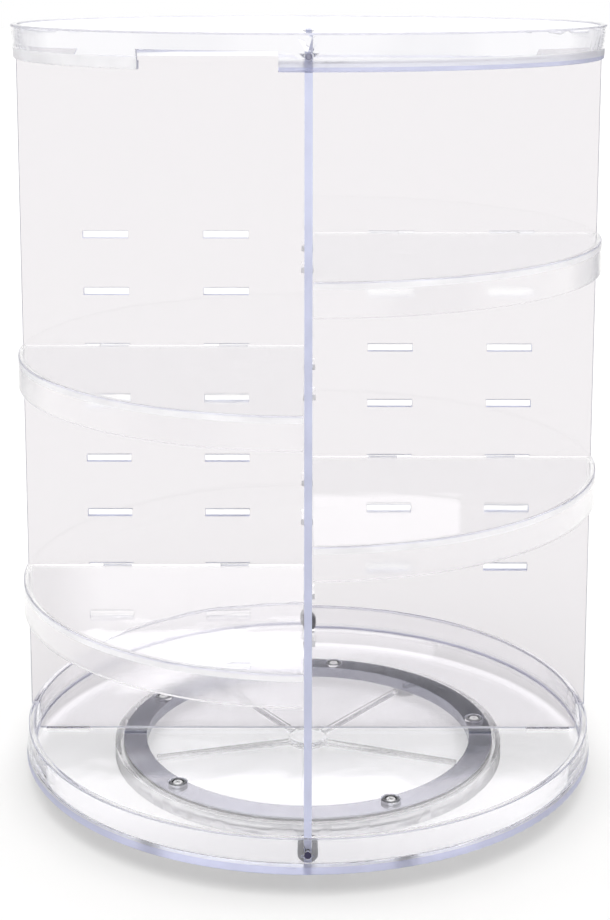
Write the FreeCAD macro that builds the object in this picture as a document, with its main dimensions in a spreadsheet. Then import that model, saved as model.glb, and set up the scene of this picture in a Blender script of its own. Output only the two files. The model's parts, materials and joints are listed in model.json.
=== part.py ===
"""Rotating storage tower: a clear four-bay tower with plug-in shelves on a ring bearing.

Frame: +Z up, origin on the table under the middle of the tower, -Y towards the front.
Every size comes from the sheet "dim", in millimetres and degrees.
"""
import FreeCAD, Part
import math
import os

import Sketcher

doc = FreeCAD.newDocument("tower")
dim = doc.addObject("Spreadsheet::Sheet", "dim")

SIZES = {
    # stand and bearing, from the table up
    "foot_height": 1.0,
    "foot_radius": 5.0,
    "foot_circle": 70.0,
    "dish_thick": 1.8,
    "dish_radius": 80.0,
    "dish_wall": 2.0,
    "dish_wall_top": 6.8,
    "land_height": 1.2,
    "land_inner": 69.6,
    "land_outer": 77.6,
    "hub_radius": 8.0,
    "hub_height": 2.6,
    "rib_width": 2.0,
    "rib_height": 1.6,
    "rib_reach": 64.0,
    "rib_angle": 52.0,
    "ring_thick": 0.9,
    "ring_outer": 76.5,
    "lower_ring_inner": 68.2,
    "upper_ring_inner": 67.0,
    "lip_thick": 0.8,
    "lip_hook_reach": 69.2,
    "lip_hook_thick": 0.5,
    "lip_hook_gap": 0.4,
    "race_gap": 2.0,
    "race_circle": 74.4,
    "race_groove": 1.4,
    "ball_radius": 1.3,
    "ball_count": 24,
    "cage_inner": 72.2,
    "cage_outer": 76.6,
    "cage_thick": 0.6,
    "cage_pocket": 1.4,
    # fasteners of the bearing
    "fastener_count": 5,
    "fastener_circle": 71.0,
    "fastener_angle": 8.5,
    "shank_radius": 1.2,
    "sunk_head_radius": 2.1,
    "sunk_depth": 2.5,
    "floor_hole": 3.8,
    "cup_radius": 3.6,
    "cup_height": 3.0,
    "cup_floor": 2.2,
    "cup_recess": 2.4,
    "head_radius": 2.1,
    "head_height": 0.7,
    "cross_reach": 1.25,
    "cross_width": 0.55,
    "cross_depth": 0.45,
    "fastener_bevel": 0.4,
    # base tray and top tray
    "base_foot_radius": 116.0,
    "base_lip_radius": 115.0,
    "base_height": 13.5,
    "tray_foot_radius": 114.5,
    "tray_lip_radius": 115.5,
    "tray_height": 13.0,
    "rim_inner": 112.4,
    "floor_thick": 3.0,
    "edge_round": 0.7,
    "tray_level": 290.0,
    "opening_inner": 10.0,
    "opening_outer": 90.0,
    "opening_back": 3.0,
    "opening_radius": 108.0,
    "notch_outer": 58.0,
    "notch_back": 88.0,
    "notch_height": 7.0,
    # crossed panels
    "panel_thick": 2.8,
    "panel_reach": 115.0,
    "panel_notch_reach": 111.6,
    "panel_notch_height": 10.8,
    "lap_gap": 0.1,
    "tab_inner": 91.0,
    "foot_tab_outer": 109.0,
    "head_tab_outer": 111.6,
    "head_tab_height": 7.0,
    "tab_gap": 0.1,
    "slot_length": 18.0,
    "slot_height": 2.8,
    "slot_inner_centre": 33.0,
    "slot_outer_centre": 81.0,
    "slot_top_row": 219.0,
    "slot_pitch": 23.0,
    "slot_rows": 7,
    # quarter shelves
    "shelf_radius": 115.5,
    "shelf_thick": 2.6,
    "shelf_skirt": 12.5,
    "shelf_skirt_wall": 2.4,
    "shelf_gap": 0.3,
    "shelf_tab_thick": 2.2,
    "shelf_tab_length": 11.6,
    "shelf_tab_start": 0.4,
    "shelf_tab_proud": 1.2,
    # clips and radial screws in the rims
    "clip_width": 7.4,
    "clip_height": 8.7,
    "clip_depth": 4.0,
    "clip_web": 2.4,
    "clip_gap": 0.1,
    "rim_screw_head": 1.3,
    "rim_screw_head_thick": 0.8,
    "rim_screw_shank": 0.9,
    "rim_screw_tip": 107.5,
    "rim_screw_sink": 0.1,
    "rim_screw_gap": 0.05,
    "top_screw_rise": 5.2,
}

for row, (alias, number) in enumerate(SIZES.items(), start=1):
    dim.set(f"A{row}", alias)
    dim.set(f"B{row}", str(number))
    dim.setAlias(f"B{row}", alias)
doc.recompute()

# Heights above the table that several pieces share.
DISH_TOP = "(dim.foot_height + dim.dish_thick)"
LOWER_RING = f"({DISH_TOP} + dim.land_height)"
RACE_MIDDLE = f"({LOWER_RING} + dim.ring_thick + dim.race_gap / 2)"
UPPER_RING = f"({LOWER_RING} + dim.ring_thick + dim.race_gap)"
BASE_LEVEL = f"({UPPER_RING} + dim.ring_thick)"
FLOOR_TOP = f"({BASE_LEVEL} + dim.floor_thick)"
PANEL_MIDDLE = f"(({FLOOR_TOP} + dim.tray_level) / 2)"
CLIP_CENTRE = f"({FLOOR_TOP} + dim.clip_height / 2)"
TOP_SCREW = "(dim.tray_level + dim.top_screw_rise)"
HALF_PANEL = "(dim.panel_thick / 2)"
OVERCUT = "1"  # how far a cutting sketch runs past the solid that it cuts


def value(expression):
    """The number that an expression of sheet cells gives."""
    return float(dim.evalExpression(expression))


def origin_feature(body, role):
    """One of the body's own origin planes or axes."""
    return next(f for f in body.Origin.OriginFeatures if f.Role == role)


def new_body(name, turn=None, level=None):
    """A PartDesign body, turned about Z by an angle and lifted to a height, both expressions."""
    body = doc.addObject("PartDesign::Body", name)
    body.Label = name
    body.AllowCompound = True
    if turn is not None:
        body.Placement = FreeCAD.Placement(FreeCAD.Vector(), FreeCAD.Rotation(FreeCAD.Vector(0, 0, 1), 1))
        body.setExpression("Placement.Rotation.Angle", turn)
    if level is not None:
        body.setExpression("Placement.Base.z", level)
    return body


def new_sketch(body, name, plane, offset=None, up=None):
    """A sketch on an origin plane, moved along the plane's normal and up its own Y."""
    sketch = body.newObject("Sketcher::SketchObject", name)
    sketch.AttachmentSupport = (origin_feature(body, plane), [""])
    sketch.MapMode = "FlatFace"
    if offset is not None:
        sketch.setExpression("AttachmentOffset.Base.z", offset)
    if up is not None:
        sketch.setExpression("AttachmentOffset.Base.y", up)
    return sketch


def arc_between(start, end, radius):
    """The arc of a circle from start to end, always anticlockwise, and whether it runs the outline's way.
    A positive radius bulges to the right of the way from start to end, a negative one to the left."""
    chord = end - start
    half = chord.Length / 2
    side = FreeCAD.Vector(chord.y, -chord.x, 0).normalize() * math.copysign(1, radius)
    centre = (start + end) / 2 - side * math.sqrt(radius**2 - half**2)
    circle = Part.Circle(centre, FreeCAD.Vector(0, 0, 1), abs(radius))
    forward = radius > 0
    from_point, to_point = (start, end) if forward else (end, start)
    angles = [math.atan2(point.y - centre.y, point.x - centre.x) for point in (from_point, to_point)]
    return Part.ArcOfCircle(circle, *angles), forward


def draw_outline(sketch, corners, arcs=None):
    """A closed outline through the corners. arcs gives the signed radius of each curved edge, keyed by the
    number of the corner that it starts from."""
    arcs = arcs or {}
    points = [FreeCAD.Vector(value(x), value(y), 0) for x, y in corners]
    edges, starts, ends = [], [], []
    for index, start in enumerate(points):
        end = points[(index + 1) % len(points)]
        shape, forward = Part.LineSegment(start, end), True
        if index in arcs:
            shape, forward = arc_between(start, end, value(arcs[index]))
        edges.append(sketch.addGeometry(shape))
        starts.append(1 if forward else 2)
        ends.append(2 if forward else 1)
    for index, edge in enumerate(edges):
        after = (index + 1) % len(edges)
        join = Sketcher.Constraint("Coincident", edge, ends[index], edges[after], starts[after])
        sketch.addConstraint(join)
        hold_corner(sketch, edge, starts[index], *corners[index])
    for index, radius in arcs.items():
        hold_radius(sketch, edges[index], f"abs({radius})")


def hold_radius(sketch, edge, radius):
    """Holds the radius of an arc or a circle."""
    bound = sketch.addConstraint(Sketcher.Constraint("Radius", edge, value(radius)))
    sketch.renameConstraint(bound, f"Radius_{edge}")
    sketch.setExpression(f"Constraints.Radius_{edge}", radius)


def hold_corner(sketch, edge, end, x, y):
    """Holds one end of an edge at a place that two expressions give."""
    for kind, axis, expression in (("DistanceX", -2, x), ("DistanceY", -1, y)):
        distance = value(expression)
        if abs(distance) < 1e-9:
            sketch.addConstraint(Sketcher.Constraint("PointOnObject", edge, end, axis))
            continue
        bound = sketch.addConstraint(Sketcher.Constraint(kind, -1, 1, edge, end, distance))
        sketch.renameConstraint(bound, f"{kind}_{edge}")
        sketch.setExpression(f"Constraints.{kind}_{edge}", expression)


def draw_rectangle(sketch, left, right, low, high):
    draw_outline(sketch, [(left, low), (right, low), (right, high), (left, high)])


def draw_circle(sketch, x, y, radius):
    """A circle whose centre and radius are expressions."""
    centre = FreeCAD.Vector(value(x), value(y), 0)
    edge = sketch.addGeometry(Part.Circle(centre, FreeCAD.Vector(0, 0, 1), value(radius)))
    hold_corner(sketch, edge, 3, x, y)
    hold_radius(sketch, edge, radius)


def finish_feature(body, feature):
    """Makes the feature the body's tip and builds it."""
    body.Tip = feature
    doc.recompute()
    return feature


def pad(body, sketch, length, symmetric=False):
    feature = body.newObject("PartDesign::Pad", "pad")
    feature.Profile = (sketch, [""])
    feature.setExpression("Length", length)
    if symmetric:
        feature.SideType = "Symmetric"
    return finish_feature(body, feature)


def pocket(body, sketch, length, symmetric=False, reverse=False):
    """Cuts the sketch out of the body, and makes sure that it did cut."""
    before = body.Shape.Volume
    feature = body.newObject("PartDesign::Pocket", "pocket")
    feature.Profile = (sketch, [""])
    feature.setExpression("Length", length)
    feature.Reversed = reverse
    if symmetric:
        feature.SideType = "Symmetric"
    finish_feature(body, feature)
    if body.Shape.Volume > before - 1e-3:
        raise RuntimeError(f"{sketch.Name} cut nothing from {body.Label}")
    return feature


def revolve(body, sketch, axis="V_Axis", angle=360):
    feature = body.newObject("PartDesign::Revolution", "revolution")
    feature.Profile = (sketch, [""])
    feature.ReferenceAxis = (sketch, [axis])
    feature.Angle = angle
    return finish_feature(body, feature)


def groove(body, sketch, axis="V_Axis"):
    """Turns the sketch round its axis and cuts it out, and makes sure that it did cut."""
    before = body.Shape.Volume
    feature = body.newObject("PartDesign::Groove", "groove")
    feature.Profile = (sketch, [""])
    feature.ReferenceAxis = (sketch, [axis])
    feature.Angle = 360
    finish_feature(body, feature)
    if body.Shape.Volume > before - 1e-3:
        raise RuntimeError(f"{sketch.Name} cut nothing from {body.Label}")
    return feature


def repeat_round(body, feature, count):
    """Repeats a feature evenly round the tower's axis."""
    pattern = body.newObject("PartDesign::PolarPattern", "round_pattern")
    pattern.Originals = [feature]
    pattern.Axis = (origin_feature(body, "Z_Axis"), [""])
    pattern.Angle = 360
    pattern.setExpression("Occurrences", count)
    return finish_feature(body, pattern)


def repeat_down(body, feature, length, count):
    """Repeats a feature evenly down the tower."""
    pattern = body.newObject("PartDesign::LinearPattern", "row_pattern")
    pattern.Originals = [feature]
    pattern.Direction = (origin_feature(body, "Z_Axis"), [""])
    pattern.Reversed = True
    pattern.setExpression("Length", length)
    pattern.setExpression("Occurrences", count)
    return finish_feature(body, pattern)


def round_circles(body, circles, radius="dim.edge_round"):
    """Rounds the circular edges that lie at the given (radius, height) pairs."""
    wanted = [(value(r), value(z)) for r, z in circles]
    names = []
    for index, edge in enumerate(body.Tip.Shape.Edges, start=1):
        curve = edge.Curve
        if not isinstance(curve, Part.Circle):
            continue
        here = (curve.Radius, curve.Center.z)
        if any(math.dist(here, place) < 1e-3 for place in wanted):
            names.append(f"Edge{index}")
    if len(names) != len(wanted):
        raise RuntimeError(f"{body.Label}: found {len(names)} of {len(wanted)} edges to round")
    base = body.Tip
    feature = body.newObject("PartDesign::Fillet", "rounds")
    feature.Base = (base, names)
    feature.setExpression("Radius", radius)
    return finish_feature(body, feature)


# ---------------------------------------------------------------- stand and bearing

def make_stand_dish():
    """Clear plate with a low wall, a raised land for the ring, a hub and five ribs."""
    body = new_body("stand_dish", turn="dim.rib_angle")
    profile = new_sketch(body, "dish_profile", "XZ_Plane")
    draw_outline(profile, [
        ("0", "dim.foot_height"),
        ("dim.dish_radius", "dim.foot_height"),
        ("dim.dish_radius", "dim.dish_wall_top"),
        ("dim.dish_radius - dim.dish_wall", "dim.dish_wall_top"),
        ("dim.dish_radius - dim.dish_wall", DISH_TOP),
        ("dim.land_outer", DISH_TOP),
        ("dim.land_outer", LOWER_RING),
        ("dim.land_inner", LOWER_RING),
        ("dim.land_inner", DISH_TOP),
        ("dim.hub_radius", DISH_TOP),
        ("dim.hub_radius", f"{DISH_TOP} + dim.hub_height"),
        ("0", f"{DISH_TOP} + dim.hub_height"),
    ])
    revolve(body, profile)
    rib = new_sketch(body, "rib_outline", "XY_Plane", offset=DISH_TOP)
    draw_rectangle(rib, f"dim.hub_radius - {OVERCUT}", "dim.rib_reach",
                   "-dim.rib_width / 2", "dim.rib_width / 2")
    repeat_round(body, pad(body, rib, "dim.rib_height"), "dim.fastener_count")
    hole = new_sketch(body, "screw_hole", "XY_Plane", offset=LOWER_RING)
    x = "dim.fastener_circle * cos(180 / dim.fastener_count)"
    y = "dim.fastener_circle * sin(180 / dim.fastener_count)"
    draw_circle(hole, x, y, "dim.shank_radius + dim.rim_screw_gap")
    repeat_round(body, pocket(body, hole, "dim.sunk_depth"), "dim.fastener_count")
    return body


def make_stand_feet():
    """Five rubber discs under the dish, at the ribs."""
    body = new_body("stand_feet", turn="dim.rib_angle")
    disc = new_sketch(body, "foot_disc", "XY_Plane")
    draw_circle(disc, "dim.foot_circle", "0", "dim.foot_radius")
    repeat_round(body, pad(body, disc, "dim.foot_height"), "dim.fastener_count")
    return body


def cut_race(body):
    """Cuts the ball groove out of a ring."""
    race = new_sketch(body, "race_section", "XZ_Plane")
    draw_circle(race, "dim.race_circle", RACE_MIDDLE, "dim.race_groove")
    groove(body, race)


def make_lower_ring():
    """Flat steel ring with a ball groove and five countersunk holes."""
    body = new_body("lower_ring", turn="dim.rib_angle + 180 / dim.fastener_count")
    profile = new_sketch(body, "ring_profile", "XZ_Plane")
    top = f"{LOWER_RING} + dim.ring_thick"
    draw_rectangle(profile, "dim.lower_ring_inner", "dim.ring_outer", LOWER_RING, top)
    revolve(body, profile)
    cut_race(body)
    sink = new_sketch(body, "countersink", "XZ_Plane")
    sink.setExpression("AttachmentOffset.Base.x", "dim.fastener_circle")
    draw_outline(sink, [
        ("0", LOWER_RING),
        ("dim.shank_radius", LOWER_RING),
        ("dim.sunk_head_radius", top),
        ("0", top),
    ])
    repeat_round(body, groove(body, sink), "dim.fastener_count")
    return body


def make_lower_ring_screws():
    """Five countersunk screws that hold the lower ring on the dish."""
    body = new_body("lower_ring_screws", turn="dim.rib_angle + 180 / dim.fastener_count")
    tip = f"{LOWER_RING} - dim.sunk_depth + dim.tab_gap"
    profile = new_sketch(body, "screw_profile", "XZ_Plane")
    profile.setExpression("AttachmentOffset.Base.x", "dim.fastener_circle")
    draw_outline(profile, [
        ("0", tip),
        ("dim.shank_radius", tip),
        ("dim.shank_radius", LOWER_RING),
        ("dim.sunk_head_radius", f"{LOWER_RING} + dim.ring_thick"),
        ("0", f"{LOWER_RING} + dim.ring_thick"),
    ])
    repeat_round(body, revolve(body, profile), "dim.fastener_count")
    return body


def make_ball_cage():
    """Thin ring that keeps the balls apart."""
    body = new_body("ball_cage")
    profile = new_sketch(body, "cage_profile", "XZ_Plane")
    draw_rectangle(profile, "dim.cage_inner", "dim.cage_outer",
                   f"{RACE_MIDDLE} - dim.cage_thick / 2", f"{RACE_MIDDLE} + dim.cage_thick / 2")
    revolve(body, profile)
    hole = new_sketch(body, "ball_pocket", "XY_Plane", offset=RACE_MIDDLE)
    draw_circle(hole, "dim.race_circle", "0", "dim.cage_pocket")
    repeat_round(body, pocket(body, hole, "2 * dim.cage_thick", symmetric=True), "dim.ball_count")
    return body


def make_bearing_balls():
    """Steel balls between the two rings."""
    balls = []
    for index in range(int(value("dim.ball_count"))):
        ball = doc.addObject("Part::Sphere", f"ball_{index + 1}")
        ball.setExpression("Radius", "dim.ball_radius")
        angle = f"{index} * 360 / dim.ball_count"
        ball.setExpression("Placement.Base.x", f"dim.race_circle * cos({angle})")
        ball.setExpression("Placement.Base.y", f"dim.race_circle * sin({angle})")
        ball.setExpression("Placement.Base.z", RACE_MIDDLE)
        balls.append(ball)
    group = doc.addObject("Part::Compound", "bearing_balls")
    group.Label = "bearing_balls"
    group.Links = balls
    return group


def make_upper_ring():
    """Steel ring under the tower. Its inner lip hooks under the lower ring, so the two stay together."""
    body = new_body("upper_ring", turn="dim.fastener_angle")
    profile = new_sketch(body, "ring_profile", "XZ_Plane")
    lip_outer = "dim.upper_ring_inner + dim.lip_thick"
    hook_top = f"{LOWER_RING} - dim.lip_hook_gap"
    draw_outline(profile, [
        ("dim.upper_ring_inner", f"{hook_top} - dim.lip_hook_thick"),
        ("dim.lip_hook_reach", f"{hook_top} - dim.lip_hook_thick"),
        ("dim.lip_hook_reach", hook_top),
        (lip_outer, hook_top),
        (lip_outer, UPPER_RING),
        ("dim.ring_outer", UPPER_RING),
        ("dim.ring_outer", BASE_LEVEL),
        ("dim.upper_ring_inner", BASE_LEVEL),
    ])
    revolve(body, profile)
    cut_race(body)
    hole = new_sketch(body, "screw_hole", "XY_Plane", offset=BASE_LEVEL)
    draw_circle(hole, "dim.fastener_circle", "0", "dim.shank_radius + dim.rim_screw_gap")
    repeat_round(body, pocket(body, hole, "dim.ring_thick"), "dim.fastener_count")
    return body


# ---------------------------------------------------------------- bearing fasteners in the base

def make_cup_washers():
    """Five dark cup washers in the base's holes."""
    body = new_body("cup_washers", turn="dim.fastener_angle")
    profile = new_sketch(body, "cup_profile", "XZ_Plane")
    profile.setExpression("AttachmentOffset.Base.x", "dim.fastener_circle")
    bore = "dim.shank_radius + dim.rim_screw_gap"
    draw_outline(profile, [
        (bore, BASE_LEVEL),
        ("dim.cup_radius", BASE_LEVEL),
        ("dim.cup_radius", f"{BASE_LEVEL} + dim.cup_height - dim.fastener_bevel"),
        ("dim.cup_radius - dim.fastener_bevel", f"{BASE_LEVEL} + dim.cup_height"),
        ("dim.cup_recess", f"{BASE_LEVEL} + dim.cup_height"),
        ("dim.cup_recess", f"{BASE_LEVEL} + dim.cup_floor"),
        (bore, f"{BASE_LEVEL} + dim.cup_floor"),
    ])
    repeat_round(body, revolve(body, profile), "dim.fastener_count")
    return body


def draw_cross(sketch, x):
    """The outline of a driver's cross recess, centred at x on the sketch's X axis."""
    reach, half = "dim.cross_reach", "dim.cross_width / 2"
    corners = []
    for across, along in (("+", "+"), ("-", "+"), ("-", "-"), ("+", "-")):
        inner = (f"{x} {across} {half}", f"{along}{half}")
        wide = (f"{x} {across} {reach}", f"{along}{half}")
        tall = (f"{x} {across} {half}", f"{along}{reach}")
        corners += [wide, inner, tall] if across == along else [tall, inner, wide]
    draw_outline(sketch, corners)


def make_ring_screws():
    """Five pan-head screws through the cup washers into the upper ring."""
    body = new_body("ring_screws", turn="dim.fastener_angle")
    profile = new_sketch(body, "screw_profile", "XZ_Plane")
    profile.setExpression("AttachmentOffset.Base.x", "dim.fastener_circle")
    seat = f"{BASE_LEVEL} + dim.cup_floor"
    draw_outline(profile, [
        ("0", UPPER_RING),
        ("dim.shank_radius", UPPER_RING),
        ("dim.shank_radius", seat),
        ("dim.head_radius", seat),
        ("dim.head_radius", f"{seat} + dim.head_height - dim.fastener_bevel"),
        ("dim.head_radius - dim.fastener_bevel", f"{seat} + dim.head_height"),
        ("0", f"{seat} + dim.head_height"),
    ])
    repeat_round(body, revolve(body, profile), "dim.fastener_count")
    cross = new_sketch(body, "cross_recess", "XY_Plane", offset=f"{seat} + dim.head_height")
    draw_cross(cross, "dim.fastener_circle")
    repeat_round(body, pocket(body, cross, "dim.cross_depth"), "dim.fastener_count")
    return body


# ---------------------------------------------------------------- radial screws in the rims

def rim_face(height, level, rise, foot_radius, lip_radius):
    """A tray rim's outer radius at a height, on its slight draft."""
    return f"({foot_radius} + ({lip_radius} - {foot_radius}) * ({height} - {level}) / {rise})"


BASE_TRAY = (BASE_LEVEL, "dim.base_height", "dim.base_foot_radius", "dim.base_lip_radius")
TOP_TRAY = ("dim.tray_level", "dim.tray_height", "dim.tray_foot_radius", "dim.tray_lip_radius")
BASE_RIM_FACE = rim_face(CLIP_CENTRE, *BASE_TRAY)
TOP_RIM_FACE = rim_face(TOP_SCREW, *TOP_TRAY)


def draw_rim_screw(sketch, rim_radius, proud, gap="0"):
    """Half section of a radial rim screw about the sketch's X axis, with its tip towards the middle."""
    face = f"-({rim_radius} + {proud})"
    step = f"-({rim_radius} - dim.rim_screw_sink - dim.rim_screw_head_thick - {gap})"
    tip = f"-(dim.rim_screw_tip - {gap})"
    head = f"dim.rim_screw_head + {gap}"
    shank = f"dim.rim_screw_shank + {gap}"
    draw_outline(sketch, [(face, "0"), (tip, "0"), (tip, shank), (step, shank), (step, head), (face, head)])


def cut_rim_screws(body, level, rim_radius):
    """Cuts the front and back holes for the radial screws at one height."""
    hole = new_sketch(body, "rim_screw_hole", "YZ_Plane", up=level)
    draw_rim_screw(hole, rim_radius, proud=OVERCUT, gap="dim.rim_screw_gap")
    repeat_round(body, groove(body, hole, axis="H_Axis"), "2")


def make_rim_screws(name, level, rim_radius):
    """The front and back screws at one height, their heads just under the rim's face."""
    body = new_body(name)
    profile = new_sketch(body, "screw_profile", "YZ_Plane", up=level)
    draw_rim_screw(profile, rim_radius, proud="-dim.rim_screw_sink")
    repeat_round(body, revolve(body, profile, axis="H_Axis"), "2")
    return body


# ---------------------------------------------------------------- trays

def make_tray(name, level, rise, foot_radius, lip_radius):
    """A round tray: a flat floor and a drafted rim with rounded edges."""
    body = new_body(name)
    profile = new_sketch(body, "tray_profile", "XZ_Plane")
    lip = f"{level} + {rise}"
    floor = f"{level} + dim.floor_thick"
    draw_outline(profile, [
        ("0", level),
        (foot_radius, level),
        (lip_radius, lip),
        ("dim.rim_inner", lip),
        ("dim.rim_inner", floor),
        ("0", floor),
    ])
    revolve(body, profile)
    rounded = [(foot_radius, level), (lip_radius, lip), ("dim.rim_inner", lip), ("dim.rim_inner", floor)]
    round_circles(body, rounded)
    return body


def cut_tab_slots(body, level, outer):
    """Four slots in a tray's floor for the panels' tabs."""
    slot = new_sketch(body, "tab_slot", "XY_Plane", offset=level)
    draw_rectangle(slot, "dim.tab_inner - dim.tab_gap", f"{outer} + dim.tab_gap",
                   f"-({HALF_PANEL} + dim.tab_gap / 2)", f"{HALF_PANEL} + dim.tab_gap / 2")
    repeat_round(body, pocket(body, slot, "dim.floor_thick", reverse=True), "4")


def make_base_tray():
    """Turning base: floor, rim, tab slots, bearing screw holes and rim screw holes."""
    body = make_tray("base_tray", *BASE_TRAY)
    cut_tab_slots(body, BASE_LEVEL, "dim.foot_tab_outer")
    hole = new_sketch(body, "washer_hole", "XY_Plane", offset=BASE_LEVEL)
    x = "dim.fastener_circle * cos(dim.fastener_angle)"
    y = "dim.fastener_circle * sin(dim.fastener_angle)"
    draw_circle(hole, x, y, "dim.floor_hole")
    repeat_round(body, pocket(body, hole, "dim.floor_thick", reverse=True), "dim.fastener_count")
    cut_rim_screws(body, CLIP_CENTRE, BASE_RIM_FACE)
    return body


def make_top_tray():
    """Top tray: its front left quarter is open, so that tall tools stand through it."""
    body = make_tray("top_tray", *TOP_TRAY)
    cut_tab_slots(body, "dim.tray_level", "dim.head_tab_outer")
    opening = new_sketch(body, "floor_opening", "XY_Plane", offset="dim.tray_level")
    draw_outline(opening, [
        ("-dim.opening_inner", "-dim.opening_back"),
        ("-dim.opening_outer", "-dim.opening_back"),
        ("-dim.opening_outer", "-sqrt(dim.opening_radius^2 - dim.opening_outer^2)"),
        ("-dim.opening_inner", "-sqrt(dim.opening_radius^2 - dim.opening_inner^2)"),
    ], arcs={2: "dim.opening_radius"})
    pocket(body, opening, "dim.floor_thick", reverse=True)
    notch = new_sketch(body, "rim_notch", "XY_Plane", offset="dim.tray_level")
    draw_rectangle(notch, "-dim.notch_outer", "-dim.opening_inner",
                   f"-(dim.tray_lip_radius + {OVERCUT})", "-dim.notch_back")
    pocket(body, notch, "dim.notch_height", reverse=True)
    cut_rim_screws(body, TOP_SCREW, TOP_RIM_FACE)
    return body


# ---------------------------------------------------------------- crossed panels

def make_panel(name, plane, slit_low, slit_high):
    """A full-width clear panel: tabs, foot notches, seven rows of slots and a half-height slit."""
    body = new_body(name)
    sheet = new_sketch(body, "panel_outline", plane)
    draw_rectangle(sheet, "-dim.panel_reach", "dim.panel_reach", FLOOR_TOP, "dim.tray_level")
    pad(body, sheet, "dim.panel_thick", symmetric=True)

    tabs = new_sketch(body, "tab_outlines", plane)
    for side in ("-1", "1"):
        draw_rectangle(tabs, f"{side} * dim.tab_inner", f"{side} * dim.foot_tab_outer",
                       BASE_LEVEL, f"{FLOOR_TOP} + {OVERCUT}")
        draw_rectangle(tabs, f"{side} * dim.tab_inner", f"{side} * dim.head_tab_outer",
                       f"dim.tray_level - {OVERCUT}", "dim.tray_level + dim.head_tab_height")
    pad(body, tabs, "dim.panel_thick", symmetric=True)

    notches = new_sketch(body, "foot_notches", plane)
    for side in ("-1", "1"):
        draw_rectangle(notches, f"{side} * dim.panel_notch_reach", f"{side} * (dim.panel_reach + {OVERCUT})",
                       f"{FLOOR_TOP} - {OVERCUT}", f"{FLOOR_TOP} + dim.panel_notch_height")
    pocket(body, notches, "2 * dim.panel_thick", symmetric=True)

    slots = new_sketch(body, "top_row_of_slots", plane)
    half_length, half_height = "dim.slot_length / 2", "dim.slot_height / 2"
    for distance in ("dim.slot_inner_centre", "dim.slot_outer_centre"):
        for centre in (f"-{distance}", distance):
            draw_rectangle(slots, f"{centre} - {half_length}", f"{centre} + {half_length}",
                           f"dim.slot_top_row - {half_height}", f"dim.slot_top_row + {half_height}")
    top_row = pocket(body, slots, "2 * dim.panel_thick", symmetric=True)
    repeat_down(body, top_row, "dim.slot_pitch * (dim.slot_rows - 1)", "dim.slot_rows")

    slit = new_sketch(body, "cross_slit", plane)
    half = "(dim.panel_thick + dim.lap_gap) / 2"
    draw_rectangle(slit, f"-{half}", half, slit_low, slit_high)
    pocket(body, slit, "2 * dim.panel_thick", symmetric=True)
    return body


def make_cross_panel():
    """Front-to-back panel, which also takes the rim screws and stands in the clips."""
    body = make_panel("cross_panel", "YZ_Plane", f"{FLOOR_TOP} - {OVERCUT}", PANEL_MIDDLE)
    cut_rim_screws(body, CLIP_CENTRE, BASE_RIM_FACE)
    cut_rim_screws(body, TOP_SCREW, TOP_RIM_FACE)
    relief = new_sketch(body, "clip_relief", "YZ_Plane")
    for side in ("-1", "1"):
        draw_rectangle(relief, f"{side} * (dim.panel_notch_reach - dim.clip_depth - dim.clip_gap)",
                       f"{side} * dim.panel_reach", FLOOR_TOP, f"{FLOOR_TOP} + dim.clip_web + dim.clip_gap")
    pocket(body, relief, "2 * dim.panel_thick", symmetric=True)
    return body


def make_base_clips():
    """Grey U-shaped clips that hold the cross panel's foot at the front and back of the base rim."""
    body = new_body("base_clips")
    side = "dim.clip_width / 2"
    straight = "(dim.clip_height - dim.clip_width) / 2"
    mouth = f"({HALF_PANEL} + dim.clip_gap / 2)"
    lip = f"{straight} + sqrt(({side})^2 - {mouth}^2)"
    bottom = f"-(dim.clip_height / 2)"
    root = f"-(dim.clip_height / 2 - dim.clip_web)"
    outline = new_sketch(body, "clip_outline", "XZ_Plane",
                         offset="dim.panel_notch_reach - dim.clip_depth", up=CLIP_CENTRE)
    draw_outline(outline, [
        (mouth, lip),
        (side, straight),
        (side, f"-{straight}"),
        ("0", bottom),
        (f"-{side}", f"-{straight}"),
        (f"-{side}", straight),
        (f"-{mouth}", lip),
        (f"-{mouth}", root),
        (mouth, root),
    ], arcs=dict.fromkeys((0, 2, 3, 5), f"-{side}"))
    repeat_round(body, pad(body, outline, "dim.clip_depth"), "2")
    return body


# ---------------------------------------------------------------- shelves

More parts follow.
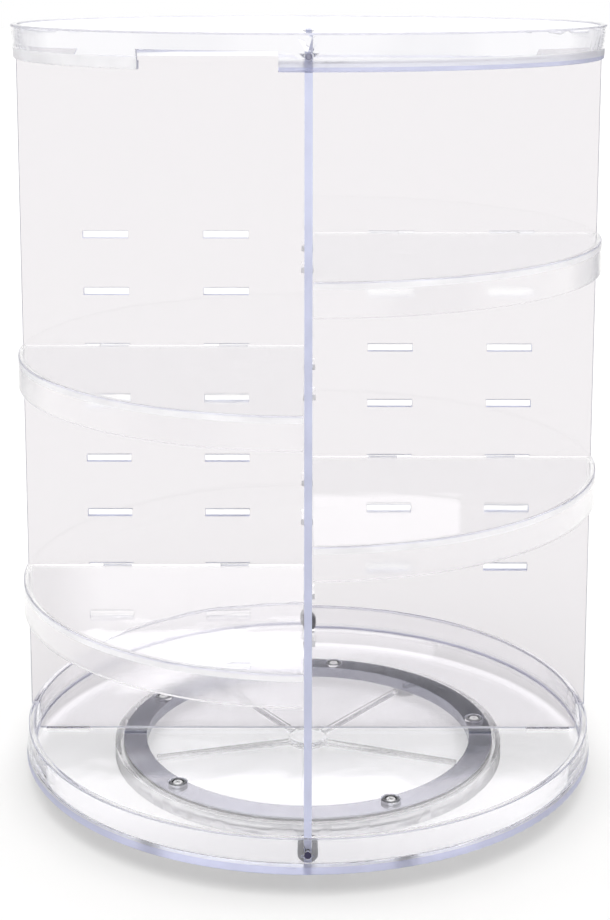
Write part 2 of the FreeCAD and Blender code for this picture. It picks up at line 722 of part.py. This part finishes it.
def make_shelf(name, slot_row, turn):
    """Quarter-round shelf with a skirt and four tabs. It is drawn in the quarter between +X and +Y."""
    body = new_body(name, turn=turn, level=f"dim.slot_top_row - {slot_row} * dim.slot_pitch")
    top = "dim.shelf_thick / 2"
    profile = new_sketch(body, "shelf_profile", "XZ_Plane")
    skirt_inner = "dim.shelf_radius - dim.shelf_skirt_wall"
    draw_outline(profile, [
        ("0", f"-{top}"),
        (skirt_inner, f"-{top}"),
        (skirt_inner, f"{top} - dim.shelf_skirt"),
        ("dim.shelf_radius", f"{top} - dim.shelf_skirt"),
        ("dim.shelf_radius", top),
        ("0", top),
    ])
    revolve(body, profile, angle=90)
    round_circles(body, [("dim.shelf_radius", top)])
    edge = f"({HALF_PANEL} + dim.shelf_gap)"
    for plane, axis in (("XZ_Plane", "beside_main"), ("YZ_Plane", "beside_cross")):
        strip = new_sketch(body, f"strip_{axis}", plane)
        draw_rectangle(strip, f"-{OVERCUT}", f"dim.shelf_radius + {OVERCUT}",
                       f"{top} - dim.shelf_skirt - {OVERCUT}", f"{top} + {OVERCUT}")
        pocket(body, strip, f"2 * {edge}", symmetric=True)
    tabs = new_sketch(body, "tab_outlines", "XY_Plane")
    outer_face = f"-({HALF_PANEL} + dim.shelf_tab_proud)"
    for centre in ("dim.slot_inner_centre", "dim.slot_outer_centre"):
        start = f"{centre} - dim.slot_length / 2 + dim.shelf_tab_start"
        end = f"{start} + dim.shelf_tab_length"
        draw_rectangle(tabs, start, end, outer_face, f"{edge} + {OVERCUT}")
        draw_rectangle(tabs, outer_face, f"{edge} + {OVERCUT}", start, end)
    pad(body, tabs, "dim.shelf_tab_thick", symmetric=True)
    return body


SHELVES = {
    # name: (slot row below the top one, turn from the +X +Y quarter)
    "shelf_upper_right": (0, "-90"),
    "shelf_upper_left": (2, "180"),
    "shelf_lower_right": (4, "-90"),
    "shelf_lower_left": (6, "180"),
}


def build():
    """Makes every sub-part and returns them."""
    pieces = [
        make_stand_dish(),
        make_stand_feet(),
        make_lower_ring(),
        make_lower_ring_screws(),
        make_ball_cage(),
        make_bearing_balls(),
        make_upper_ring(),
        make_cup_washers(),
        make_ring_screws(),
        make_base_tray(),
        make_panel("main_panel", "XZ_Plane", PANEL_MIDDLE, f"dim.tray_level + {OVERCUT}"),
        make_cross_panel(),
        make_top_tray(),
        make_base_clips(),
        make_rim_screws("base_rim_screws", CLIP_CENTRE, BASE_RIM_FACE),
        make_rim_screws("top_rim_screws", TOP_SCREW, TOP_RIM_FACE),
    ]
    pieces += [make_shelf(name, slot_row, turn) for name, (slot_row, turn) in SHELVES.items()]
    return pieces


def check_document():
    """Stops if any object of the document failed to build."""
    doc.recompute()
    for item in doc.Objects:
        if {"Invalid", "Error"} & set(item.State):
            raise RuntimeError(f"{item.Label} failed: {item.State}")


def write_pieces(pieces):
    """Writes each sub-part's shape to its own file."""
    os.makedirs("parts", exist_ok=True)
    for piece in pieces:
        shape = piece.Shape
        if shape.isNull() or not shape.isValid() or not shape.Solids:
            raise RuntimeError(f"{piece.Label} has no valid solid")
        shape.exportStep(f"parts/{piece.Label}.step")
        print(f"{piece.Label:20s} solids {len(shape.Solids):3d}  volume {shape.Volume:10.1f} mm3")


made = build()
check_document()
write_pieces(made)
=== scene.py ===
"""Looks of the clear rotating storage caddy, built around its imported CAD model."""
import json
import math

import bmesh
import bpy
from mathutils import Matrix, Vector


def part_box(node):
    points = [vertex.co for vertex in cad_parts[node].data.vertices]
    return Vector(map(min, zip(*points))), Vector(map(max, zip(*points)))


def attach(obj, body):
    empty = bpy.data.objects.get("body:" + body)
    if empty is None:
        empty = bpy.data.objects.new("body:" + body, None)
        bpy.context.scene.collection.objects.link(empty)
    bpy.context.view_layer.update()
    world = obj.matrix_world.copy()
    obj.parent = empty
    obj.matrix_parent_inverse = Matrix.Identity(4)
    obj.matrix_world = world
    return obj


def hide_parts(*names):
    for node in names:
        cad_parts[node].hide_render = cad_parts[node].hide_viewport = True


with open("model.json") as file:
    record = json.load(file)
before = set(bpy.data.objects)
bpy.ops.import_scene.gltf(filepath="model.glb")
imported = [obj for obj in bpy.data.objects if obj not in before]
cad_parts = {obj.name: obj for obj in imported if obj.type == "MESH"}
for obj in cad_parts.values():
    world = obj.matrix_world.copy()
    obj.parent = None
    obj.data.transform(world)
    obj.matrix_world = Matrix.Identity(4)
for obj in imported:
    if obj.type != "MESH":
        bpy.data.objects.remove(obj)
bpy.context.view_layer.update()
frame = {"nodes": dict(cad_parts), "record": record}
NODES = frame["nodes"]
SLOTS = {piece["node"]: piece["material_slot"] for piece in frame["record"]["subparts"]}
BODY_OF = {node: body for body, members in frame["record"]["behaviour"]["bodies"].items() for node in members}
MM = 0.001

# sizes of the CAD model that the looks follow, in metres
RIM_INNER = 0.1124      # inside of both trays' rims
OPEN_RADIUS = 0.108     # past it the top tray's underside is only its rim, where the floor is open
NOTCH_FRONT = -0.088    # the notch at the front of the top tray's floor lies before it
TRAY_FLOOR = 0.003      # thickness of both trays' floors
SHELF_PLATE = 0.0026    # thickness of a shelf's plate
SKIRT_START = 0.1128    # a shelf's skirt lies past this radius
DISH_WALL = 0.0775      # the dish's low wall lies past this radius
CLIP_CHEEK = 0.0014     # half of the gap between a clip's cheeks

FLOOR_RADIUS = 9.0      # the studio's floor, in metres


# ---------------------------------------------------------------- material helpers

def node_adder(tree):
    """A function that adds a node with its settings, and with its inputs set or linked."""
    def add(kind, inputs=None, **settings):
        node = tree.nodes.new(kind)
        for key, value in settings.items():
            setattr(node, key, value)
        for key, value in (inputs or {}).items():
            if isinstance(value, bpy.types.NodeSocket):
                tree.links.new(value, node.inputs[key])
            else:
                node.inputs[key].default_value = value
        return node
    return add


def new_material(name):
    """A material with a bare output, its node tree and a function that adds nodes to it."""
    material = bpy.data.materials.new(name)
    material.use_nodes = True
    tree = material.node_tree
    tree.nodes.clear()
    return material, tree, tree.nodes.new("ShaderNodeOutputMaterial"), node_adder(tree)


def grain(add, coords, scale, detail=3.0, roughness=0.5, distortion=0.0, stretch=None):
    """Noise from 0 to 1 in the piece's own coordinates, with features per metre given by scale."""
    if stretch:
        coords = add("ShaderNodeMapping", {"Vector": coords, "Scale": stretch}).outputs[0]
    return add("ShaderNodeTexNoise", {
        "Vector": coords, "Scale": scale, "Detail": detail, "Roughness": roughness, "Distortion": distortion,
    }).outputs["Fac"]


def spread(add, value, low_in, high_in, low_out, high_out):
    """Value brought from one range to another and held inside it."""
    return add("ShaderNodeMapRange", {
        "Value": value, "From Min": low_in, "From Max": high_in, "To Min": low_out, "To Max": high_out,
    }).outputs[0]


def math_node(add, operation, first, second):
    return add("ShaderNodeMath", {0: first, 1: second}, operation=operation).outputs[0]


def times(add, first, second):
    return math_node(add, "MULTIPLY", first, second)


def larger(add, first, second):
    return math_node(add, "MAXIMUM", first, second)


def clear_plastic(name, tint, ior=1.49, ripple=0.04, polish=0.004, haze=0.03, satin_from=None):
    """Moulded clear plastic: flow ripples of a height in millimetres, and hair scratches in its gloss.
    polish and haze are its lowest and highest roughness. Past the radius satin_from it is satin."""
    material, tree, output, add = new_material(name)
    coords = add("ShaderNodeTexCoord").outputs["Object"]
    flow = grain(add, coords, 26.0, detail=1.5, distortion=0.6)
    fine = grain(add, coords, 210.0, detail=2.0)
    bump_fine = add("ShaderNodeBump", {"Strength": 0.10, "Distance": 0.00002, "Height": fine})
    bump = add("ShaderNodeBump", {"Strength": 1.0, "Distance": ripple * MM, "Height": flow,
                                  "Normal": bump_fine.outputs[0]})
    scratch_a = grain(add, coords, 60.0, detail=4.0, roughness=0.7, stretch=(1.0, 0.9, 26.0))
    scratch_b = grain(add, coords, 70.0, detail=4.0, roughness=0.7, stretch=(22.0, 1.4, 1.0))
    hair = larger(add, spread(add, scratch_a, 0.66, 0.76, 0.0, 1.0),
                  spread(add, scratch_b, 0.67, 0.77, 0.0, 1.0))
    cloud = spread(add, grain(add, coords, 14.0, detail=3.0), 0.35, 0.75, 0.0, 0.3)
    rough = spread(add, larger(add, hair, cloud), 0.0, 1.0, polish, haze)
    if satin_from:
        flat = add("ShaderNodeVectorMath", {0: coords, 1: (1.0, 1.0, 0.0)}, operation="MULTIPLY").outputs[0]
        radius = add("ShaderNodeVectorMath", {0: flat}, operation="LENGTH").outputs["Value"]
        satin = spread(add, radius, satin_from, satin_from + 0.4 * MM, 0.0, 0.13)
        rough = larger(add, rough, satin)
    shader = add("ShaderNodeBsdfPrincipled", {
        "Base Color": (*tint, 1.0), "Roughness": rough, "IOR": ior, "Transmission Weight": 1.0,
        "Normal": bump.outputs[0],
    })
    tree.links.new(shader.outputs[0], output.inputs["Surface"])
    return material


def sawn_edge(name, colour, clearness=0.4):
    """The matt cut edge of clear plastic, pale blue or white, with fine saw lines across it."""
    material, tree, output, add = new_material(name)
    coords = add("ShaderNodeTexCoord").outputs["Object"]
    lines = grain(add, coords, 300.0, detail=3.0, stretch=(1.0, 1.0, 4.0))
    cloud = grain(add, coords, 45.0, detail=3.0)
    bump = add("ShaderNodeBump", {"Strength": 0.5, "Distance": 0.00004, "Height": lines})
    mix = add("ShaderNodeMix", data_type="RGBA")
    tree.links.new(spread(add, cloud, 0.35, 0.7, 0.0, 1.0), mix.inputs[0])
    mix.inputs[6].default_value = (*colour, 1.0)
    mix.inputs[7].default_value = (*(0.86 * part for part in colour), 1.0)
    shader = add("ShaderNodeBsdfPrincipled", {
        "Base Color": mix.outputs[2], "Roughness": spread(add, lines, 0.3, 0.7, 0.3, 0.5), "IOR": 1.49,
        "Transmission Weight": clearness, "Normal": bump.outputs[0],
    })
    tree.links.new(shader.outputs[0], output.inputs["Surface"])
    return material


def metal(name, colour, worn, roughness, brushed=0.0):
    """Plated or polished steel with fine grain, smudges and lighter worn patches. brushed is how far its
    gloss is drawn out round the vertical axis."""
    material, tree, output, add = new_material(name)
    coords = add("ShaderNodeTexCoord").outputs["Object"]
    fine = grain(add, coords, 900.0, detail=4.0, roughness=0.65)
    smudge = grain(add, coords, 55.0, detail=4.0)
    mix = add("ShaderNodeMix", data_type="RGBA")
    tree.links.new(spread(add, smudge, 0.35, 0.75, 0.0, 1.0), mix.inputs[0])
    mix.inputs[6].default_value = (*colour, 1.0)
    mix.inputs[7].default_value = (*worn, 1.0)
    rough = spread(add, math_node(add, "ADD", smudge, times(add, fine, 0.5)),
                   0.4, 1.1, roughness * 0.75, roughness * 1.3)
    bump = add("ShaderNodeBump", {"Strength": 0.25, "Distance": 0.00003, "Height": fine})
    shader = add("ShaderNodeBsdfPrincipled", {
        "Base Color": mix.outputs[2], "Metallic": 1.0, "Roughness": rough, "Normal": bump.outputs[0],
        "Anisotropic": brushed,
    })
    if brushed:
        around = add("ShaderNodeTangent", direction_type="RADIAL", axis="Z")
        tree.links.new(around.outputs[0], shader.inputs["Tangent"])
    tree.links.new(shader.outputs[0], output.inputs["Surface"])
    return material


def moulded(name, colour, speck, roughness, painted_glow=0.0):
    """Opaque moulded plastic or rubber with a fine matt grain. The glow is painted light: an emission
    that stands in for the light that clear plastic over it gathers."""
    material, tree, output, add = new_material(name)
    coords = add("ShaderNodeTexCoord").outputs["Object"]
    fine = grain(add, coords, 700.0, detail=3.0, roughness=0.6)
    cloud = grain(add, coords, 90.0, detail=3.0)
    mix = add("ShaderNodeMix", data_type="RGBA")
    tree.links.new(spread(add, cloud, 0.3, 0.7, 0.0, 1.0), mix.inputs[0])
    mix.inputs[6].default_value = (*colour, 1.0)
    mix.inputs[7].default_value = (*speck, 1.0)
    rough = spread(add, fine, 0.3, 0.7, roughness * 0.85, roughness * 1.15)
    bump = add("ShaderNodeBump", {"Strength": 0.4, "Distance": 0.00004, "Height": fine})
    shader = add("ShaderNodeBsdfPrincipled", {
        "Base Color": mix.outputs[2], "Roughness": rough, "Normal": bump.outputs[0],
        "Emission Color": (*colour, 1.0), "Emission Strength": painted_glow,
    })
    tree.links.new(shader.outputs[0], output.inputs["Surface"])
    return material


MATERIALS = {
    "clear_acrylic": clear_plastic("tray_plastic", (0.975, 0.972, 0.985), ripple=0.06),
    "clear_panel": clear_plastic("sheet_plastic", (0.780, 0.764, 0.784), ripple=0.06),
    "clear_shelf": clear_plastic("shelf_plastic", (0.998, 0.996, 1.0), satin_from=SKIRT_START),
    "clear_stand": clear_plastic("stand_plastic", (0.99, 0.99, 0.995), ior=1.27, polish=0.10, haze=0.25),
    # the feet's glow is painted light, standing in for light that reaches them through the clear dish
    "rubber": moulded("foot_rubber", (0.86, 0.86, 0.87), (0.80, 0.80, 0.82), 0.75, painted_glow=0.45),
    "bearing_steel": metal("bearing_steel", (0.84, 0.84, 0.86), (0.90, 0.90, 0.91), 0.42),
    "ring_steel": metal("ring_steel", (0.42, 0.43, 0.485), (0.48, 0.485, 0.53), 0.10, brushed=0.25),
    "washer_steel": metal("washer_steel", (0.20, 0.205, 0.215), (0.28, 0.285, 0.295), 0.42),
    "screw_steel": metal("screw_steel", (0.86, 0.86, 0.86), (0.92, 0.92, 0.92), 0.40),
    "ball_steel": metal("ball_steel", (0.70, 0.70, 0.72), (0.80, 0.80, 0.81), 0.12),
    "cage_nylon": moulded("cage_nylon", (0.90, 0.90, 0.90), (0.85, 0.85, 0.86), 0.45),
    "grey_clip": moulded("clip_grey", (0.34, 0.34, 0.36), (0.30, 0.30, 0.32), 0.5),
    "dark_screw": metal("dark_screw", (0.035, 0.033, 0.07), (0.07, 0.065, 0.11), 0.35),
}

for node, slot in SLOTS.items():
    NODES[node].data.materials.clear()
    NODES[node].data.materials.append(MATERIALS[slot])


# ---------------------------------------------------------------- pieces with finished edges

def finished(node, name, bevel, shrink=0.04, cuts=(), others=(), pick=None):
    """A copy of a CAD node with small rounded edges, a hair inside its place so that touching parts keep an
    air gap. bevel and shrink are in millimetres. cuts are planes, each a point and a normal, that divide its
    faces. pick gives each face, by its centre and normal, the node's own material (0) or one of the others
    (from 1)."""
    mesh = bmesh.new()
    mesh.from_mesh(NODES[node].data)
    bmesh.ops.remove_doubles(mesh, verts=mesh.verts, dist=2e-6)
    if bevel:
        bmesh.ops.dissolve_limit(mesh, angle_limit=math.radians(0.2), verts=mesh.verts, edges=mesh.edges)
        sharp = [edge for edge in mesh.edges
                 if edge.is_manifold and edge.calc_face_angle() > math.radians(32)]
        bmesh.ops.bevel(mesh, geom=sharp, offset=bevel * MM, segments=2, profile=0.6, affect="EDGES",
                        clamp_overlap=True)
    for point, normal in cuts:
        bmesh.ops.bisect_plane(mesh, geom=[*mesh.verts, *mesh.edges, *mesh.faces], dist=1e-7,
                               plane_co=point, plane_no=normal)
    mesh.normal_update()
    for vert in mesh.verts:
        vert.co -= vert.normal * shrink * MM
    for face in mesh.faces:
        face.smooth = True
        if pick:
            face.material_index = int(pick(face.calc_center_median(), face.normal))
    data = bpy.data.meshes.new(name)
    mesh.to_mesh(data)
    mesh.free()
    for material in (MATERIALS[SLOTS[node]], *others):
        data.materials.append(material)
    data.set_sharp_from_angle(angle=math.radians(50))
    made = bpy.data.objects.new(name, data)
    bpy.context.scene.collection.objects.link(made)
    weighted = made.modifiers.new("flat_faces_stay_flat", "WEIGHTED_NORMAL")
    weighted.keep_sharp = True
    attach(made, BODY_OF[node])
    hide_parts(node)
    return made


EDGE = sawn_edge("sheet_edge", (0.75, 0.78, 0.99))
BAND = sawn_edge("plate_edge", (0.63, 0.65, 0.87), 0.72)
LINE = sawn_edge("rounded_edge", (0.82, 0.82, 0.93), 0.85)
SATIN = clear_plastic("satin_joint", (0.93, 0.93, 0.96), polish=0.35, haze=0.45)
PALE = sawn_edge("shelf_edge", (0.92, 0.915, 0.935), 0.25)
FROSTED = clear_plastic("frosted_wall", (0.97, 0.97, 0.98), ior=1.35, polish=0.35, haze=0.45)


def radius_of(centre):
    return math.hypot(centre.x, centre.y)


def outward(centre, normal):
    """How far a face looks away from the middle of the tower: 1 for the outside of a wall."""
    return (centre.x * normal.x + centre.y * normal.y) / max(radius_of(centre), MM)


def is_round(centre, normal):
    """True on the rounded edges near a rim."""
    return 0.15 < abs(normal.z) < 0.97 and radius_of(centre) > RIM_INNER - 2 * MM


def tray_faces(band_top, joint_top, opening=False):
    """Picks a tray's faces: its floor's edge (1), the rounded edges (2), the pale foot of the rim where the
    top tray's opening leaves it no floor (3), and the satin joint of floor and rim (4)."""
    def pick(centre, normal):
        open_part = opening and centre.x < -0.01 and centre.y < 0
        if centre.z < joint_top and radius_of(centre) > RIM_INNER and outward(centre, normal) > 0.2:
            if open_part:
                return 3
            return 1 if centre.z < band_top else 4
        if opening and abs(normal.x) > 0.9 and centre.x < 0 and centre.y < NOTCH_FRONT:
            return 1
        if open_part and normal.z < -0.9 and radius_of(centre) > OPEN_RADIUS:
            return 3
        return 2 if is_round(centre, normal) else 0
    return pick


def shelf_faces(plate_underside):
    """Picks a shelf's faces: the edge of its plate (1) and the rounded edges (2)."""
    def pick(centre, normal):
        if is_round(centre, normal):
            return 2
        return 1 if centre.z > plate_underside and outward(centre, normal) > 0.5 else 0
    return pick


def level_cut(height):
    """A horizontal plane, as a point and a normal."""
    return (0, 0, height), (0, 0, 1)


finished("main_panel", "main_sheet", 0.25, others=(EDGE,), pick=lambda centre, normal: abs(normal.y) < 0.9)
finished("cross_panel", "cross_sheet", 0.25, others=(EDGE,), pick=lambda centre, normal: abs(normal.x) < 0.9)
base_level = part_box("upper_ring")[1][2]
top_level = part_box("top_tray")[0][2]
for tray, level, band, opening in (("base_tray", base_level, 3.1, False), ("top_tray", top_level, 1.7, True)):
    band_top, joint_top = level + band * MM, level + TRAY_FLOOR + 1.3 * MM
    finished(tray, f"{tray}_moulding", 0.2, cuts=[level_cut(band_top), level_cut(joint_top)],
             others=(BAND, LINE, PALE, SATIN), pick=tray_faces(band_top, joint_top, opening))
finished("upper_ring", "turned_ring", 0.2, shrink=0.1)
finished("stand_feet", "soft_feet", 0.3, shrink=0.06)
finished("stand_dish", "dish_moulding", 0.0, others=(FROSTED,),
         pick=lambda centre, normal: outward(centre, normal) > 0.5 and radius_of(centre) > DISH_WALL)
for side in ("upper_right", "upper_left", "lower_right", "lower_left"):
    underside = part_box(f"shelf_{side}")[1][2] - SHELF_PLATE
    finished(f"shelf_{side}", f"{side}_shelf_moulding", 0.3, cuts=[level_cut(underside)],
             others=(PALE, LINE), pick=shelf_faces(underside))
finished("base_clips", "rim_clips", 0.15, others=(EDGE,),
         cuts=[((-CLIP_CHEEK, 0, 0), (1, 0, 0)), ((CLIP_CHEEK, 0, 0), (1, 0, 0))],
         pick=lambda centre, normal: abs(centre.x) < CLIP_CHEEK)
pins = finished("top_rim_screws", "rim_pins", 0.1, shrink=0.45)
pins.data.materials[0] = metal("pale_pin", (0.30, 0.30, 0.38), (0.36, 0.36, 0.44), 0.35)


# ---------------------------------------------------------------- stage, light and camera

def mirrored_only(add):
    """1 for what a glossy surface mirrors, and 0 for what is seen directly or through a surface."""
    path = add("ShaderNodeLightPath")
    through = math_node(add, "SUBTRACT", 1.0, path.outputs["Is Transmission Ray"])
    return times(add, path.outputs["Is Glossy Ray"], through)


def dark_corners(add, x, y):
    """1 towards the four corners of the room and 0 towards its sides, from a direction's x and y."""
    product = math_node(add, "ABSOLUTE", times(add, x, y), 0.0)
    squares = math_node(add, "ADD", times(add, x, x), times(add, y, y))
    share = math_node(add, "DIVIDE", product, larger(add, squares, 0.000001))
    return spread(add, share, 0.36, 0.46, 0.0, 1.0)


def make_floor():
    """A wide pale floor with a painted soft shadow at the object's foot, where its glow drops with ambient
    occlusion. Seen through the trays it has a painted pool of light, a little brighter, for the light that
    clear plastic gathers. In what a surface mirrors, its far corners have painted dim shade."""
    mesh = bmesh.new()
    bmesh.ops.create_circle(mesh, cap_ends=True, radius=FLOOR_RADIUS, segments=96)
    data = bpy.data.meshes.new("floor")
    mesh.to_mesh(data)
    mesh.free()
    floor = bpy.data.objects.new("floor", data)
    bpy.context.scene.collection.objects.link(floor)
    material, tree, output, add = new_material("floor_paper")
    coords = add("ShaderNodeTexCoord").outputs["Object"]
    fibre = grain(add, coords, 400.0, detail=3.0)
    bump = add("ShaderNodeBump", {"Strength": 0.05, "Distance": 0.0001, "Height": fibre})
    radius = add("ShaderNodeVectorMath", {0: coords}, operation="LENGTH").outputs["Value"]
    # painted contact shadow: the floor's glow drops where ambient occlusion finds the object close
    near = add("ShaderNodeAmbientOcclusion", {"Distance": 0.022}, samples=12).outputs["AO"]
    place = add("ShaderNodeSeparateXYZ", {0: coords})
    open_floor_painted_shadow = spread(add, near, 0.35, 0.95, 0.33, 0.49)
    # painted pool of light on the floor under the trays, seen only through them
    painted_tray_light = times(add, spread(add, place.outputs["Y"], 0.014, 0.027, 0.69, 1.05),
                      spread(add, place.outputs["Y"], -0.090, -0.060, 0.76, 1.0))
    painted_tray_light = times(add, painted_tray_light, spread(add, radius, 0.114, 0.118, 1.0, 0.0))
    painted_tray_light = math_node(add, "ADD", painted_tray_light, spread(add, radius, 0.060, 0.066, 0.20, 0.0))
    through = add("ShaderNodeLightPath").outputs["Is Transmission Ray"]
    painted_glow = larger(add, open_floor_painted_shadow, times(add, painted_tray_light, through))
    paper = add("ShaderNodeBsdfPrincipled", {
        "Base Color": (0.42, 0.415, 0.41, 1.0), "Roughness": 0.9, "Specular IOR Level": 0.1,
        "Emission Color": (1.0, 1.0, 1.0, 1.0), "Emission Strength": painted_glow, "Normal": bump.outputs[0],
    })
    # painted dim shade on the floor's far corners, seen only in what glossy surfaces mirror
    shade = add("ShaderNodeEmission", {"Color": (0.25, 0.25, 0.30, 1.0), "Strength": 1.0})
    corner = dark_corners(add, place.outputs["X"], place.outputs["Y"])
    away = spread(add, radius, 0.5, 0.9, 0.0, 1.0)
    share = times(add, times(add, corner, away), mirrored_only(add))
    mixed = add("ShaderNodeMixShader", {0: share, 1: paper.outputs[0], 2: shade.outputs[0]})
    tree.links.new(mixed.outputs[0], output.inputs["Surface"])
    data.materials.append(material)


def make_world():
    """A pale room with large soft panels high behind and in front of the object, and with dim corners."""
    world = bpy.data.worlds.new("studio")
    bpy.context.scene.world = world
    world.use_nodes = True
    tree = world.node_tree
    tree.nodes.clear()
    add = node_adder(tree)
    direction = add("ShaderNodeTexCoord").outputs["Generated"]
    parts = add("ShaderNodeSeparateXYZ", {0: direction})
    x, y, up = parts.outputs["X"], parts.outputs["Y"], parts.outputs["Z"]
    mirrored = mirrored_only(add)

    # the wall is dimmer high up, and through one sheet its foot is as bright as the floor
    upper = spread(add, mirrored, 0.0, 1.0, 0.75, 0.42)
    dimmed = times(add, spread(add, up, 0.30, 0.40, 0.0, 1.0), math_node(add, "SUBTRACT", 1.0, upper))
    wall = math_node(add, "SUBTRACT", 1.0, dimmed)
    path = add("ShaderNodeLightPath")
    through = times(add, path.outputs["Is Transmission Ray"],
                    spread(add, path.outputs["Transmission Depth"], 2.0, 3.0, 1.0, 0.0))
    horizon = times(add, spread(add, up, -0.026, -0.020, 0.0, 1.0), spread(add, up, 0.0, 0.30, 0.22, 0.0))
    wall = math_node(add, "ADD", wall, times(add, through, horizon))
    overhead = math_node(add, "ADD", wall, spread(add, up, 0.70, 0.80, 0.0, 1.6))

    def window(front, left, right, low, high, soft):
        """1 inside a soft-edged window given by slopes from the middle: sideways and upwards. front is 1 for
        the wall behind the object and -1 for the wall in front of it."""
        ahead = larger(add, times(add, y, front), 0.001)
        across = math_node(add, "DIVIDE", times(add, x, front), ahead)
        height = math_node(add, "DIVIDE", up, ahead)
        inside = times(add, spread(add, across, left - soft * 3, left + soft * 3, 0.0, 1.0),
                       spread(add, across, right - soft * 0.3, right + soft * 0.3, 1.0, 0.0))
        inside = times(add, inside, spread(add, height, low - soft * 0.3, low + soft * 0.3, 0.0, 1.0))
        return times(add, inside, spread(add, height, high - soft, high + soft, 1.0, 0.0))

    # the soft panels: a low and a high one behind, a narrow bright one at the left, and one in front
    behind = larger(add, times(add, window(1.0, -0.16, 0.092, 0.308, 0.40, 0.012), 1.17),
                    times(add, window(1.0, -0.5, 0.5, 0.484, 0.85, 0.02), 1.5))
    behind = larger(add, behind, times(add, window(1.0, -0.15, 0.0, 0.392, 0.424, 0.008), 1.9))
    before = window(-1.0, -0.5, 0.5, 0.30, 0.80, 0.06)
    panels = times(add, larger(add, behind, before), 1.3)

    # the room round them, with dim corners and a dark gap between the two panels behind
    low_down = spread(add, up, 0.10, 0.20, 1.0, 0.0)
    corner = times(add, times(add, dark_corners(add, x, y), low_down), mirrored)
    room = times(add, overhead, math_node(add, "SUBTRACT", 1.0, times(add, corner, 0.7)))
    gap = window(1.0, -0.4, 0.4, 0.408, 0.476, 0.008)
    room = times(add, room, spread(add, gap, 0.0, 1.0, 1.0, 0.15))
    strength = larger(add, room, panels)
    background = add("ShaderNodeBackground", {"Color": (1.0, 1.0, 1.0, 1.0), "Strength": strength})
    output = add("ShaderNodeOutputWorld")
    tree.links.new(background.outputs[0], output.inputs["Surface"])


def make_camera():
    """The viewing angle of the reference picture: low, close, and pointed a little down."""
    distance, height = 0.688, 0.3234
    pitch, roll = math.radians(9.03), math.radians(0.07)
    data = bpy.data.cameras.new("camera")
    data.sensor_width, data.lens = 36.0, 68.204348
    data.shift_x, data.shift_y = -0.0038043478, -0.23195652
    data.clip_start, data.clip_end = 0.01, 50.0
    camera = bpy.data.objects.new("camera", data)
    bpy.context.scene.collection.objects.link(camera)
    camera.matrix_world = (Matrix.Translation((0.0, -distance, height))
                           @ Matrix.Rotation(math.radians(90) - pitch, 4, "X")
                           @ Matrix.Rotation(roll, 4, "Z"))
    bpy.context.scene.camera = camera


make_floor()
make_world()
make_camera()

scene = bpy.context.scene
scene.view_settings.view_transform = "Standard"
scene.cycles.max_bounces = 64
scene.cycles.transmission_bounces = 64
scene.cycles.glossy_bounces = 64
scene.cycles.transparent_max_bounces = 16
scene.cycles.diffuse_bounces = 3
